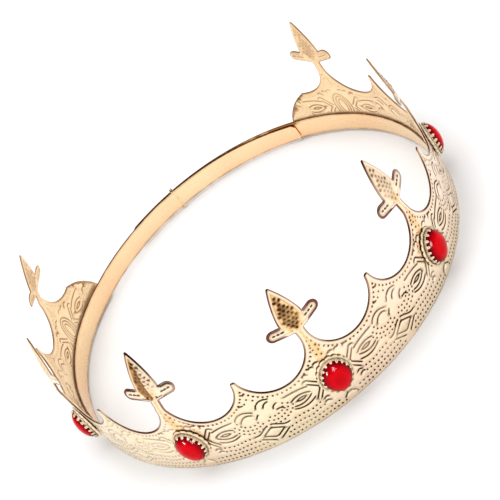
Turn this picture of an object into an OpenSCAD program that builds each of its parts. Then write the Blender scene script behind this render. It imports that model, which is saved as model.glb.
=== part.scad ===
// Adjustable costume crown: a stamped plate of tall arrow-topped points and short points, an oval
// stone in a claw bezel under each tall point, and a head band of two sprung straps that slide
// past each other in a wire keeper at the back.
//
// Frame: the origin is on the ring's axis at the level of the bottom edge, +Z is up and the
// front of the crown faces -Y. Azimuths are counted from the front towards +X. Widths along the
// plate are measured round its outer face.

/* [Ring] */
// Radius of the plate's outer face
ring_r = 95; // [94:0.5:100]
// Thickness of the stamped plate
plate_t = 1.2; // [1:0.1:1.6]
// Azimuth between neighbouring tall points
point_pitch = 40; // [39.7:0.1:41]

/* [Points] */
// Height of the tall points
crown_h = 67; // [64:0.5:72]
// Height of the short points
short_h = 39.5; // [39:0.1:40.4]
// Radius of the scallops between the points
scallop_r = 15; // [14.5:0.1:15.2]
// Height of the scallops' centres
scallop_z = 40.5; // [40.5:0.1:42]
// Width of a tall point's stem where it is narrowest
stem_w = 4.2; // [3.6:0.1:4.6]
// Inward lean of each tall point above its bend, from the left end to the right end
point_lean = [19, 12, 14, 0, 8, 5, -2]; // [-15:1:20]

/* [Finials] */
// Width of the arrowhead at its shoulders
head_w = 11; // [9:0.1:13]
// Height of the arrowhead's shoulders
shoulder_z = 50.5; // [50:0.1:53]
// How far the arrowhead's sides bow out
head_bow = 0.6; // [0:0.1:1]
// Reach of each arm from the middle of the stem
arm_reach = 12.3; // [10:0.1:13]
// Width of the arms
arm_w = 5.6; // [5:0.1:5.8]
// Upward tilt of the arms
arm_tilt = 15; // [10:1:18]

/* [Plate ends] */
// Radius of the plate's rounded ends
end_r = 27.5; // [27:0.5:29]
// Distance of that rounding's centre past the last tall point
end_offset = 8; // [7:0.5:9]

/* [Stones] */
// Height of the stones' centres
gem_z = 16; // [15:0.5:17]
// Width of a stone
gem_w = 11.4; // [10:0.1:12]
// Height of a stone
gem_h = 14.8; // [13:0.1:15]
// How far a stone's domed crown rises above its girdle
gem_dome = 3.8; // [3:0.1:4.5]
// Claws round each stone
claw_count = 18; // [12:1:20]

/* [Head band] */
// Width of the straps
strap_w = 10.4; // [8:0.1:12]
// Thickness of the straps
strap_t = 0.7; // [0.5:0.1:1]
// Clearance between sliding pieces
slide_gap = 0.2; // [0.15:0.05:0.3]
// Diameter of the keeper's wire
wire_d = 0.8; // [0.6:0.1:1]
// Azimuth of the left strap's free end, reached round the back
left_end_a = 140; // [130:0.5:150]
// Azimuth of the right strap's free end, reached round the back
right_end_a = 200; // [195:0.5:210]
// Azimuth of the wire keeper
keeper_a = 183; // [175:0.5:190]
// Azimuth, to either side, where the straps start inside the plate
root_a = 30; // [20:1:50]
// Azimuth where the left strap starts to turn out, to lie against the plate beyond it
turn_out_a = 219; // [218.5:0.5:222]
// Azimuth that it takes to turn out
turn_out_span = 21; // [12:1:30]

/* [Hidden] */

$fn = 96;
fine_fn = 360;

gold = "#e2c078";
bright_gold = "#e8cc86";
ruby = "#c8000f";

// How far a cutter reaches past what it cuts
spare = 1;
// Depth of a cut through the curved plate, centred on its outer face
cut_depth = 20;

// Plate
point_count = len(point_lean);
last_a = point_pitch * (point_count - 1) / 2;
plate_mid_r = ring_r - plate_t / 2;
scallop_x = stem_w / 2 + scallop_r;
scallop_a = ring_angle(scallop_x);
neck_w = ring_r * point_pitch * PI / 180 - 2 * (scallop_x + scallop_r);
// How much wider than the neck of a short point its rounded tip is, so that the two blend
tip_spread = 0.2;
tip_r = neck_w / 2 + tip_spread;
tip_cut_w = 2 * tip_r + spare;
end_z = 0.5;
end_a = ring_angle(end_offset);
end_spare_a = 2;
end_reach_a = ring_angle(end_offset + end_r) + end_spare_a;

// Finials
bend_z = 38;
fold_spare = 2;
// How far the finials' faces lie within the plate's, so that each stands inside its stem's top
finial_inset = 0.05;
finial_a = 12;
arm_z = 45.3;
head_foot_z = 46;
head_foot_inset = 0.4;
head_tip_r = 0.7;
head_top_z = crown_h - head_tip_r;

// Stones: an oval of two end arcs and two side arcs that meet smoothly. The dome is cut from an
// ellipsoid a little larger than the oval.
oval_end_share = 0.28;
oval_end_r = oval_end_share * gem_h;
oval_end_y = gem_h / 2 - oval_end_r;
oval_side_r = (oval_end_y ^ 2 + (gem_w / 2) ^ 2 - oval_end_r ^ 2) / (gem_w - 2 * oval_end_r);
oval_side_x = oval_side_r - gem_w / 2;
oval_join_a = atan2(oval_end_y, oval_side_x);
girdle_h = 0.6;
dome_spread = 0.15;

// Bezels, heights measured out from the plate's face
foot_r = 4;
foot_depth = 1;
flange_lift = 0.35;
flange_t = 0.5;
flange_offset = 1.1;
lobe_r = 0.85;
cup_floor = flange_lift + flange_t;
cup_gap = 0.08;
cup_wall = 0.5;
cup_h = 1.3;
claw_r = 0.5;
claw_h = 1.9;
claw_sink = 0.15;
claw_offset = cup_gap + cup_wall + claw_r - claw_sink;

// Head band
right_r = ring_r - plate_t - slide_gap;
left_r = right_r - strap_t - slide_gap;
strap_z = slide_gap + wire_d;
turn_out_steps = 7;
lap_a = 0.4;
lap_inset = 0.05;
strap_corner_r = 2.5;
corner_bite = 0.1;
keeper_in_y = -(left_r - strap_t - slide_gap - wire_d / 2);
keeper_out_y = -(right_r + wire_d / 2);
keeper_low_z = wire_d / 2;
keeper_top_z = strap_z + strap_w + slide_gap + wire_d / 2;
wire_end_gap = 0.1;
wire_end_x = wire_d + wire_end_gap;

// Azimuth that a width along the plate's outer face spans
function ring_angle(width) = width / ring_r * 180 / PI;

// Azimuth of tall point i, counted from the left end
function point_a(i) = -last_a + i * point_pitch;

// Direction of the normal, from 0 to 90, at share q of the way along a quarter of the oval
function quarter_turn(q) =
    let (side = oval_side_r * oval_join_a, end = oval_end_r * (90 - oval_join_a), at = q * (side + end))
    at < side ? at / oval_side_r : oval_join_a + (at - side) / oval_end_r;

// Direction of the normal at share q of the way round the oval
function oval_turn(q) =
    let (quarter = floor(4 * q), part = 4 * q - quarter)
    quarter * 90 + (quarter % 2 == 0 ? quarter_turn(part) : 90 - quarter_turn(1 - part));

// Point on an oval that stands off the stone's outline by d, where the normal points at angle a
function oval_point(d, a) =
    abs(sin(a)) > sin(oval_join_a)
        ? [(oval_end_r + d) * cos(a), (oval_end_r + d) * sin(a) + sign(sin(a)) * oval_end_y]
        : [(oval_side_r + d) * cos(a) - sign(cos(a)) * oval_side_x, (oval_side_r + d) * sin(a)];

// Point of the ground plan at radius r and azimuth a
function plan_point(r, a) = [r * sin(a), -r * cos(a)];

// Radius of the left strap's outer face at share u of its turn outwards
function turn_out_r(u) = left_r + (right_r - left_r) * u * u * (3 - 2 * u);

// A band of the ring from azimuth a0 to a1
module ring_band(r, t, z, h, a0, a1) {
    rotate_extrude(angle = a1 - a0, start = a0 - 90)
        translate([r - t, z])
            square([t, h]);
}

// Turns an outline drawn as width and height into a block through the front of the ring
module through_front() {
    translate([0, cut_depth / 2 - ring_r, 0])
        rotate([90, 0, 0])
            linear_extrude(height = cut_depth)
                children();
}

// Puts children on the plate's outer face, their +Z pointing outwards
module on_plate(a, z) {
    rotate([0, 0, a])
        translate([0, -ring_r, z])
            rotate([90, 0, 0])
                children();
}

// The stone's outline, grown by d
module oval_outline(d) {
    for (side = [-1, 1])
        translate([0, side * oval_end_y])
            circle(r = oval_end_r + d);
    intersection() {
        side_r = oval_side_r + d;
        translate([oval_side_x, 0])
            circle(r = side_r);
        translate([-oval_side_x, 0])
            circle(r = side_r);
        square([2 * gem_w, 2 * side_r * sin(oval_join_a)], center = true);
    }
}

module oval_prism(d, z, h) {
    translate([0, 0, z])
        linear_extrude(height = h)
            oval_outline(d);
}

// One side of the arrowhead, as widths at heights, from the shoulder to the tip
function head_side(steps = 8) = [
    for (i = [0 : steps])
        let (u = i / steps,
             straight = head_w / 2 * (1 - u) + head_tip_r * u)
        [straight + 4 * head_bow * u * (1 - u), shoulder_z * (1 - u) + head_top_z * u]
];

// A tall point above its bend: a stem, two arms and an arrowhead with a round tip
module finial_outline() {
    foot = [[0, head_foot_z], [head_w / 2 - head_foot_inset, head_foot_z]];
    translate([-stem_w / 2, bend_z - fold_spare])
        square([stem_w, arm_z - bend_z + fold_spare]);
    for (flip = [0, 1]) mirror([flip, 0]) {
        translate([0, arm_z]) rotate(arm_tilt) {
            translate([0, -arm_w / 2])
                square([arm_reach - arm_w / 2, arm_w]);
            translate([arm_reach - arm_w / 2, 0])
                circle(d = arm_w);
        }
        polygon(concat(foot, head_side(), [[0, head_top_z]]));
    }
    translate([0, head_top_z])
        circle(r = head_tip_r);
}

// The finial leans in by lean degrees at its bend, and is cut level there to stand on the plate
module finial(lean) {
    intersection() {
        translate([0, -plate_mid_r, bend_z])
            rotate([-lean, 0, 0])
                translate([0, plate_mid_r, -bend_z])
                    intersection() {
                        ring_band(ring_r - finial_inset, plate_t - 2 * finial_inset,
                                  bend_z - fold_spare, crown_h, -finial_a, finial_a);
                        through_front()
                            finial_outline();
                    }
        translate([-ring_r / 2, -1.5 * ring_r, bend_z])
            cube([ring_r, ring_r, crown_h]);
    }
}

// What is cut away above the bend of a tall point, where its finial stands
module stem_cut() {
    through_front()
        translate([-stem_w, bend_z])
            square([2 * stem_w, crown_h]);
}

// What is cut away round the tip of a short point
module tip_cut() {
    through_front()
        translate([0, short_h - tip_r])
            difference() {
                translate([-tip_cut_w / 2, 0])
                    square([tip_cut_w, tip_r + spare]);
                circle(r = tip_r);
            }
}

// What is cut away outside the rounded end of the plate, on the right
module end_cut() {
    through_front()
        difference() {
            translate([scallop_x - end_offset, -spare])
                square([end_r, short_h + 2 * spare]);
            translate([0, end_z])
                circle(r = end_r);
        }
}

module crown_plate() color(gold) {
    difference() {
        ring_band(ring_r, plate_t, 0, short_h, -last_a - end_reach_a, last_a + end_reach_a);
        for (i = [0 : point_count - 1])
            rotate([0, 0, point_a(i)]) {
                stem_cut();
                for (side = [-1, 1])
                    rotate([0, 0, side * scallop_a])
                        through_front()
                            translate([0, scallop_z])
                                circle(r = scallop_r);
            }
        for (i = [0 : point_count - 2])
            rotate([0, 0, point_a(i + 0.5)])
                tip_cut();
        for (flip = [0, 1])
            mirror([flip, 0, 0])
                rotate([0, 0, last_a + end_a])
                    end_cut();
    }
    for (i = [0 : point_count - 1])
        rotate([0, 0, point_a(i)])
            finial(point_lean[i]);
}

// Claw bezel: a foot shaped to the plate, a lobed flange, a cup and a ring of claws
module bezel(i) color(bright_gold) {
    difference() {
        on_plate(point_a(i), gem_z)
            translate([0, 0, -foot_depth])
                cylinder(r = foot_r, h = foot_depth + flange_lift);
        cylinder(r = ring_r, h = short_h, $fn = fine_fn);
    }
    on_plate(point_a(i), gem_z) {
        oval_prism(flange_offset, flange_lift, flange_t);
        difference() {
            oval_prism(cup_gap + cup_wall, cup_floor, cup_h);
            oval_prism(cup_gap, cup_floor, cup_h + spare);
        }
        for (k = [0 : claw_count - 1]) {
            a = oval_turn(k / claw_count);
            translate(concat(oval_point(flange_offset, a), flange_lift))
                cylinder(r = lobe_r, h = flange_t);
            translate(concat(oval_point(claw_offset, a), flange_lift)) {
                cylinder(r = claw_r, h = flange_t + claw_h);
                translate([0, 0, flange_t + claw_h])
                    sphere(r = claw_r);
            }
        }
    }
}

// Oval cabochon with a flat back
module gem(i) color(ruby) {
    on_plate(point_a(i), gem_z)
        intersection() {
            oval_prism(0, cup_floor, girdle_h + gem_dome + spare);
            translate([0, 0, cup_floor + girdle_h])
                scale([gem_w / 2 + dome_spread, gem_h / 2 + dome_spread, gem_dome])
                    sphere(r = 1);
        }
}

// A sprung strap from azimuth a0 to a free end with rounded corners at a1
module strap(r, a0, a1) {
    difference() {
        strap_band(r, min(a0, a1), max(a0, a1));
        rotate([0, 0, a1])
            mirror([a1 < a0 ? 1 : 0, 0, 0])
                through_front()
                    translate([0, strap_z + strap_w / 2])
                        for (flip = [0, 1]) mirror([0, flip])
                            strap_corner();
    }
}

// A plain length of strap from azimuth a0 to a1
module strap_band(r, a0, a1) {
    ring_band(r, strap_t, strap_z, strap_w, a0, a1);
}

// The stretch of the left strap that turns out from inside the right one to the plate. Its two
// ends reach a little way into the strap on either side.
module turn_out() {
    steps = turn_out_steps;
    low_a = turn_out_a - lap_a;
    high_a = turn_out_a + turn_out_span + lap_a;
    outer = [for (i = [1 : steps - 1]) let (u = i / steps)
        plan_point(turn_out_r(u), turn_out_a + u * turn_out_span)];
    inner = [for (i = [steps - 1 : -1 : 1]) let (u = i / steps)
        plan_point(turn_out_r(u) - strap_t, turn_out_a + u * turn_out_span)];
    translate([0, 0, strap_z])
        linear_extrude(height = strap_w)
            polygon(concat(
                [plan_point(left_r - lap_inset, low_a)], outer, [plan_point(right_r - lap_inset, high_a)],
                [plan_point(right_r - strap_t + lap_inset, high_a)], inner,
                [plan_point(left_r - strap_t + lap_inset, low_a)]
            ));
}

// What rounding takes off the lower corner of a strap's free end
module strap_corner() {
    inset = strap_corner_r - corner_bite;
    translate([-inset, inset - strap_w / 2])
        difference() {
            translate([0, -strap_corner_r - spare])
                square(strap_corner_r + spare);
            circle(r = strap_corner_r);
        }
}

module left_strap() color(gold) {
    strap(left_r, turn_out_a, left_end_a);
    turn_out();
    strap_band(right_r, turn_out_a + turn_out_span, 360 - root_a);
}

module right_strap() color(gold) {
    strap(right_r, root_a, right_end_a);
}

// A straight run of the keeper's wire with round ends
module wire(p, q) {
    run = q - p;
    translate(p) {
        sphere(d = wire_d);
        rotate([0, acos(run[2] / norm(run)), atan2(run[1], run[0])])
            cylinder(d = wire_d, h = norm(run));
    }
    translate(q)
        sphere(d = wire_d);
}

// Wire wrapped once round both straps, its two ends side by side over the top
module wire_keeper() color(bright_gold) {
    in_low = [0, keeper_in_y, keeper_low_z];
    in_top = [0, keeper_in_y, keeper_top_z];
    out_low = [wire_end_x, keeper_out_y, keeper_low_z];
    out_top = [wire_end_x, keeper_out_y, keeper_top_z];
    rotate([0, 0, keeper_a]) {
        wire(in_top, in_low);
        wire(in_low, out_low);
        wire(out_low, out_top);
        wire(in_top, [0, keeper_out_y, keeper_top_z]);
        wire(out_top, [wire_end_x, keeper_in_y, keeper_top_z]);
    }
}

crown_plate();
bezel(0);  // bezel_1
bezel(1);  // bezel_2
bezel(2);  // bezel_3
bezel(3);  // bezel_4
bezel(4);  // bezel_5
bezel(5);  // bezel_6
bezel(6);  // bezel_7
gem(0);  // gem_1
gem(1);  // gem_2
gem(2);  // gem_3
gem(3);  // gem_4
gem(4);  // gem_5
gem(5);  // gem_6
gem(6);  // gem_7
left_strap();
right_strap();
wire_keeper();
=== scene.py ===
# An adjustable costume crown: a stamped plate with arrow-topped points, oval red stones in claw
# bezels, two sliding straps and a wire keeper.
#
# Lengths are in millimetres until a mesh is made, and MM turns them into metres. The plate is drawn
# flat: s runs round its outer face from the front towards +X, and z is the height above its bottom
# edge. A stone and its bezel are drawn on the plate's face, with w counted outwards.
import math
import random

import bpy
from mathutils import Matrix, Vector, kdtree
from mathutils.geometry import delaunay_2d_cdt


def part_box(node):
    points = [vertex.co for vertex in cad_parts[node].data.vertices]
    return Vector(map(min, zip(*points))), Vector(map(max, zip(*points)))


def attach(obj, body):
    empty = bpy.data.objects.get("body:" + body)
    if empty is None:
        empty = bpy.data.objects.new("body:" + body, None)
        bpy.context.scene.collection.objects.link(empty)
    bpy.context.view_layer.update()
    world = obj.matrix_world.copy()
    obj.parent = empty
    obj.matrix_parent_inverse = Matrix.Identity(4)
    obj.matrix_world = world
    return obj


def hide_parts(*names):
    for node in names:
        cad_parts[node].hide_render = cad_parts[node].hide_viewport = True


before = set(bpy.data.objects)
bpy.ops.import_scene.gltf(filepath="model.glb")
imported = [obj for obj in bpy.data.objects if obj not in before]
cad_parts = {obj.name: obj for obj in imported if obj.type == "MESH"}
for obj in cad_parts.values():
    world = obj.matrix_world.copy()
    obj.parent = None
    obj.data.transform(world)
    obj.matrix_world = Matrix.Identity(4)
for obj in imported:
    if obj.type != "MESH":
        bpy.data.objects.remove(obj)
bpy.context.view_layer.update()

MM = 0.001

# Plate, as far as the frame gives it
plate_low, plate_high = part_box("crown_plate")
RING_R = -plate_low.y / MM
CROWN_H = plate_high.z / MM
PLATE_T = 1.2
PITCH_A = 40.0

# The tall points in the order of s: the lean in degrees, the stain and painted dark reflection on the arms'
# edges, and for the left and the right half the tarnish and painted shade of the sunk field, and the stain
# and painted dark reflection on the arrowhead's edge
LEANS = [19, 12, 14, 0, 8, 5, -2]
ARM_EDGE_STAIN_AND_REFLECTION = [0.4, 0.45, 0.5, 1.0, 0.55, 0.4, 0.4]
FIELD_TARNISH_AND_SHADE = [(0.4, 0.4), (0.5, 0.4), (2.2, 0.15), (1.1, 0.9), (0.2, 0.2), (0.4, 0.4), (0.4, 0.4)]
HEAD_EDGE_STAIN_AND_REFLECTION = [(0.6, 0.4), (0.7, 0.4), (2.5, 1.4), (0.9, 0.5), (1.8, 0.4), (0.6, 0.4), (0.6, 0.4)]
LAST = (len(LEANS) - 1) / 2
PITCH = math.radians(PITCH_A) * RING_R
SHORT_X = PITCH / 2

# Outline
SCALLOP_R = 15.0
SCALLOP_Z = 40.5
STEM_HALF = 2.1
SCALLOP_X = STEM_HALF + SCALLOP_R
SHORT_H = 39.5
TIP_R = SHORT_X - SCALLOP_X - SCALLOP_R + 0.2
TIP_Z = SHORT_H - TIP_R
END_R = 27.5
END_X = 8.0
END_Z = 0.5
ARM_Z = 45.3
ARM_HALF = 2.8
ARM_END = 9.5
ARM_TILT = 15.0
ARMPIT_X = 5.43
HEAD_HALF = 5.5
SHOULDER_Z = 50.5
HEAD_BOW = 0.6
HEAD_TIP_R = 0.7
BEND_Z = 38.0
BEND_HALF = 2.0

# Relief of the stamped pattern
RIM_W = 1.8
RIM_RISE = 0.2
EDGE_ROUND = 1.2
EDGE_DROP = 0.42
FOOT_ROUND = 0.45
HEAD_ROUND = 1.1
HEAD_DROP = 0.45
ARM_BRIM = 0.7
ARM_ROUND = 1.4
ARM_DROP = 0.5
HEAD_RIM_W = 1.3
HEAD_SUNK = 0.32
ROOF_SLOPE = 0.27
DOT_R = 0.66
HEAD_DOT_R = 0.85
BEAD_R = 1.3
DOT_DEPTH = 0.3
DOT_PITCH = 1.9
DOT_WANDER = 0.12
LINE_R = 0.52
LINE_DEPTH = 0.26
INSIDE_DEPTH = 0.24
BARE_Z = 11.6

# Steps along strokes, along the edges that distances are measured to, and along the mesh's edges,
# and the size of the cells in which vertices are looked up
STEP = 0.5
FINE_STEP = 0.1
MESH_STEP = 0.55
CELL = 0.5

# Stones and bezels
GEM_Z = 16.0
GEM_W = 11.4
GEM_H = 14.8
GEM_DOME = 3.8
GEM_FOOT_W = 0.86
GIRDLE_W = 1.45
GIRDLE_A = 86
CLAWS = 18
CLAW_HALF = 0.62
CLAW_T = 0.19
CLAW_DENT = 0.1


# ---------------- flat drawing

def arc(centre, radius, start, end, step):
    """Points along an arc from angle start to angle end, in degrees."""
    count = max(2, round(abs(math.radians(end - start)) * radius / step))
    angles = [math.radians(start + (end - start) * k / count) for k in range(count + 1)]
    return [(centre[0] + radius * math.cos(a), centre[1] + radius * math.sin(a)) for a in angles]


def line(a, b, step=STEP):
    """Points along a straight line, both ends included."""
    count = max(1, round(math.dist(a, b) / step))
    return [(a[0] + (b[0] - a[0]) * k / count, a[1] + (b[1] - a[1]) * k / count) for k in range(count + 1)]


def bow(a, middle, b, step=STEP):
    """Points along a smooth bow from a to b that passes through middle."""
    control = [2 * m - (p + q) / 2 for p, m, q in zip(a, middle, b)]
    count = max(2, round((math.dist(a, middle) + math.dist(middle, b)) / step))
    shares = [k / count for k in range(count + 1)]
    return [tuple(p * (1 - u) ** 2 + 2 * c * u * (1 - u) + q * u * u for p, c, q in zip(a, control, b))
            for u in shares]


def chain(*runs):
    """Joins runs of points, leaving out the ones that repeat."""
    points = []
    for run in runs:
        points += [p for p in run if not points or math.dist(p, points[-1]) > 0.02]
    return points


def circles_meet(c0, r0, c1, r1):
    """Where two circles cross, to the left of the way from c0 to c1."""
    gap = math.dist(c0, c1)
    along = (r0 * r0 - r1 * r1 + gap * gap) / (2 * gap)
    across = math.sqrt(r0 * r0 - along * along)
    ux, uz = (c1[0] - c0[0]) / gap, (c1[1] - c0[1]) / gap
    return c0[0] + along * ux - across * uz, c0[1] + along * uz + across * ux


def bearing(centre, point):
    return math.degrees(math.atan2(point[1] - centre[1], point[0] - centre[0]))


def finial_side(step):
    """Right side of a tall point's head, from the tip down to the foot of the stem."""
    top = CROWN_H - HEAD_TIP_R
    tip = arc((0, top), HEAD_TIP_R, 90, 12, step / 2)
    shoulder = (HEAD_HALF, SHOULDER_Z)
    middle = ((tip[-1][0] + HEAD_HALF) / 2 + HEAD_BOW, (tip[-1][1] + SHOULDER_Z) / 2)
    tilt = math.radians(ARM_TILT)
    along, up = (math.cos(tilt), math.sin(tilt)), (-math.sin(tilt), math.cos(tilt))

    def on_arm(reach, rise):
        return reach * along[0] + rise * up[0], ARM_Z + reach * along[1] + rise * up[1]

    armpit = on_arm((ARMPIT_X + ARM_HALF * along[1]) / along[0], ARM_HALF)
    crotch = on_arm((STEM_HALF - ARM_HALF * along[1]) / along[0], -ARM_HALF)
    end = arc(on_arm(ARM_END, 0), ARM_HALF, 90 + ARM_TILT, ARM_TILT - 90, step / 2)
    return chain(tip, bow(tip[-1], middle, shoulder, step), line(shoulder, armpit, step),
                 line(armpit, end[0], step), end, line(end[-1], crotch, step),
                 line(crotch, (STEM_HALF, SCALLOP_Z), step))


def to_circle(centre, radius, step):
    """From a tall point's tip along its right scallop to a circle that this one meets, and where."""
    scallop = (SCALLOP_X, SCALLOP_Z)
    meet = circles_meet(scallop, SCALLOP_R, centre, radius)
    return chain(finial_side(step), arc(scallop, SCALLOP_R, 180, 360 + bearing(scallop, meet), step)), meet


def half_outline(step):
    """From a tall point's tip to the top of the short point on its right."""
    tip = (SHORT_X, TIP_Z)
    run, meet = to_circle(tip, TIP_R, step)
    return chain(run, arc(tip, TIP_R, bearing(tip, meet), 90, step / 2))


def plate_outline(step):
    """The whole plate, clockwise from the left end's foot, and the run of it that has a rim."""
    centre, half = (END_X, END_Z), half_outline(step)
    last, meet = to_circle(centre, END_R, step)
    end = chain(arc(centre, END_R, bearing(centre, meet), 0, step), [(END_X + END_R, 0)])
    top = []
    for i in range(len(LEANS)):
        axis = (i - LAST) * PITCH
        left = last if i == 0 else half
        right = last if i == len(LEANS) - 1 else half
        top += [(axis - x, z) for x, z in reversed(left)] + [(axis + x, z) for x, z in right[1:]]
    axis = LAST * PITCH
    rim = chain(top)
    left_end = [(-axis - x, z) for x, z in reversed(end)]
    right_end = [(axis + x, z) for x, z in end]
    bottom = line(right_end[-1], left_end[0], step)
    outline = chain(left_end, rim, right_end, bottom)
    return outline[:-1] if math.dist(outline[0], outline[-1]) < 0.02 else outline, rim


# ---------------- stamped pattern

def both_sides(points):
    return [(x, z) for x, z in points] + [(-x, z) for x, z in points]


def mirrored(strokes):
    return strokes + [[(-x, z) for x, z in stroke] for stroke in strokes]


def dash(x, z, length, tilt):
    """A short straight stroke about its middle, tilted by degrees."""
    dx = length / 2 * math.cos(math.radians(tilt))
    dz = length / 2 * math.sin(math.radians(tilt))
    return line((x - dx, z - dz), (x + dx, z + dz), LINE_R)


def oval_stroke(x, z, half_x, half_z):
    """A closed oval stroke about its middle."""
    count = round(math.pi * (half_x + half_z) / STEP)
    angles = [2 * math.pi * k / count for k in range(count + 1)]
    return [(x + half_x * math.cos(a), z + half_z * math.sin(a)) for a in angles]


def finial_dots():
    """The dots of a tall point: zigzag down its stem, and staggered pairs over its arrowhead."""
    stem = [(0.85 * (-1) ** k, 27.6 + 1.35 * k) for k in range(12)]
    head = []
    for k in range(12):
        z = 44.9 + 1.65 * k
        places = [(m + 0.5 * (k % 2)) * DOT_PITCH for m in range(-3, 4)]
        head += [(x + side, z) for x in places if abs(x) < head_half(z) - 0.55 for side in (-0.14, 0.14)]
    return stem + head


def finial_dashes():
    """The marks along the arms."""
    return mirrored([dash(5.6 + 1.7 * k, 47.0 + 0.45 * k, 0.8, ARM_TILT) for k in range(3)])


def scallop_dots():
    """Dots that follow a scallop inside its rim."""
    return arc((SCALLOP_X, SCALLOP_Z), SCALLOP_R + 2.5, -155, -29, DOT_PITCH)


def edge_rows():
    """Rows of dots along the bottom, between a tall point and the short one on its right."""
    rows = [(3.0, 1.9, 0, 0, 15), (5.2, 3.9, 0, 0, 13), (10.6, 6.2, 0.35, 0, 9), (11.4, 8.7, 0.3, 1, 7)]
    return [(x + DOT_PITCH * k, z + wave * math.cos(k + turn))
            for x, z, wave, turn, count in rows for k in range(count)]


def dot_field():
    """Dotted arcs between an eye and a short point."""
    centre = (28, 20)
    rings = [(5.1, -168, -62), (7.1, -160, -58), (9.0, -152, -62)]
    return [p for r, start, end in rings for p in arc(centre, r, start, end, DOT_PITCH)]


def short_dots():
    """Dots on a short point's axis."""
    return [(0, 33.4), (0, 31.6), (0, 28.8), (1.8, 27.2), (-1.8, 27.2)]


def eye():
    """An eye-shaped scroll beside a stone: bowed lines round a small oval."""
    lids = [((12, 16.4), (16, 17.9), (20, 16.9)), ((12, 14.9), (16, 13.3), (20, 13.9))]
    brows = [((11.6, 19.3), (16, 20.5), (21.3, 20.9)), ((11.5, 12.6), (16, 11.4), (20.5, 12.7))]
    middle = [((14, 15.8), (16, 16.3), (18, 15.8)), ((14, 15.6), (16, 15.1), (18, 15.6))]
    return [bow(*places) for places in lids + brows + middle]


def stone_rays():
    """Chevrons and short bows round a stone, on its right."""
    chevrons = [line((6.4, 17.0), (10.0, 21.2)), line((7.9, 16.3), (11.0, 19.8)),
                line((6.4, 14.3), (9.6, 10.4)), line((7.9, 15.0), (10.9, 11.4))]
    places = [(3.6, 26.2), (6.3, 25.7), (9.9, 24.4), (11.2, 21.9), (8.2, 9.4), (8.9, 7.6)]
    bows = [bow((x - 0.9, z - 0.25), (x, z + 0.15), (x + 0.9, z - 0.25), 0.45) for x, z in places]
    foot = [line((1.0, 4.4), (2.7, 3.0))]
    return chevrons + bows + foot


def stone_ovals():
    """Ovals pressed round the place of a stone, which show on the plate's inside."""
    halves = [(3.2, 6.0), (1.8, 4.2), (4.7, 7.6)]
    return [oval_stroke(0, GEM_Z, half_x, half_z) for half_x, half_z in halves]


def diamond():
    """A diamond on a short point's axis in a pair of chevrons, right half."""
    inner = [line((0.5, 10.2), (4.2, 7.9)), line((0.5, 5.1), (4.2, 7.3))]
    outer = [chain(line((1.3, 12.0), (5.0, 9.5)), bow((5.0, 9.5), (6.3, 9.1), (7.7, 9.1))),
             line((1.7, 3.6), (6.2, 6.4))]
    return inner + outer


def leaves():
    """Curled leaves under a short point: double bows on the left, broken ones on the right."""
    left = [bow((-10, 20.9), (-6.4, 23.3), (-2.2, 21.7)), bow((-8, 19.3), (-5.5, 21.1), (-3, 20.4))]
    right = [bow((2.0, 24.6), (4.0, 25.3), (6.5, 24.4)), bow((3.0, 21.4), (4.2, 22.8), (5.6, 23.2)),
             bow((6.0, 18.6), (6.6, 19.7), (7.8, 20.4)), bow((9.6, 16.2), (8.6, 17.3), (7.2, 17.4))]
    marks = [dash(-1.5, 18.3, 1.3, 50), dash(0.8, 23.4, 1.6, 60), dash(-4.0, 26.9, 1.6, -10)]
    return left + right + marks


def pattern():
    """Every dot, and every stroke as a run of points, over the whole plate."""
    dots, strokes = [], []

    def add(axis, some_dots, some_strokes):
        dots.extend((axis + x, z) for x, z in some_dots)
        strokes.extend([(axis + x, z) for x, z in stroke] for stroke in some_strokes)

    half = scallop_dots() + edge_rows() + dot_field()
    for i in range(len(LEANS)):
        add((i - LAST) * PITCH, finial_dots() + both_sides(half),
            finial_dashes() + mirrored(eye() + stone_rays()) + stone_ovals())
    for i in range(len(LEANS) + 1):
        add((i - 0.5 - LAST) * PITCH, short_dots(), mirrored(diamond()) + leaves())
    return dots, strokes


def under_bezel(s, z):
    """True where a bezel hides the plate's outer face."""
    x = (s / PITCH + 0.5) % 1 * PITCH - SHORT_X
    return (x / 6.0) ** 2 + ((z - GEM_Z) / 7.8) ** 2 < 1


# ---------------- relief

def tree_of(points):
    """The points, ready for finding the nearest."""
    tree = kdtree.KDTree(len(points))
    for k, (x, z) in enumerate(points):
        tree.insert((x, z, 0), k)
    tree.balance()
    return tree


def smooth(low, high, value):
    """Rises smoothly from 0 to 1 as value goes from low to high, or falls if high is below low."""
    u = min(1.0, max(0.0, (value - low) / (high - low)))
    return u * u * (3 - 2 * u)


def hollow(distance, radius):
    """Depth of a dent as a share of its middle's, at a distance from the middle."""
    return 1 - smooth(0.25 * radius, radius, distance)


def arm_share(x):
    """1 out on an arrowhead's arms, and 0 between them."""
    return smooth(4.6, 6.2, abs(x))


def head_share(z):
    """1 on a tall point's arrowhead, and 0 below it."""
    return smooth(41, 45, z)


def rim_width(z):
    """Width of the raised rim, which is narrower on the arrowheads."""
    return RIM_W + (HEAD_RIM_W - RIM_W) * smooth(42, 46, z)


def head_half(z):
    """Half of the width of the sunk kite in an arrowhead, whose upper sides bow out a little."""
    share = min(1.0, (64.3 - z) / 13.8)
    wide = 4.2 * share + 2.0 * share * (1 - share)
    return max(0.0, min(wide, 1.5 + 0.45 * (z - 43.5)))


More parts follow.
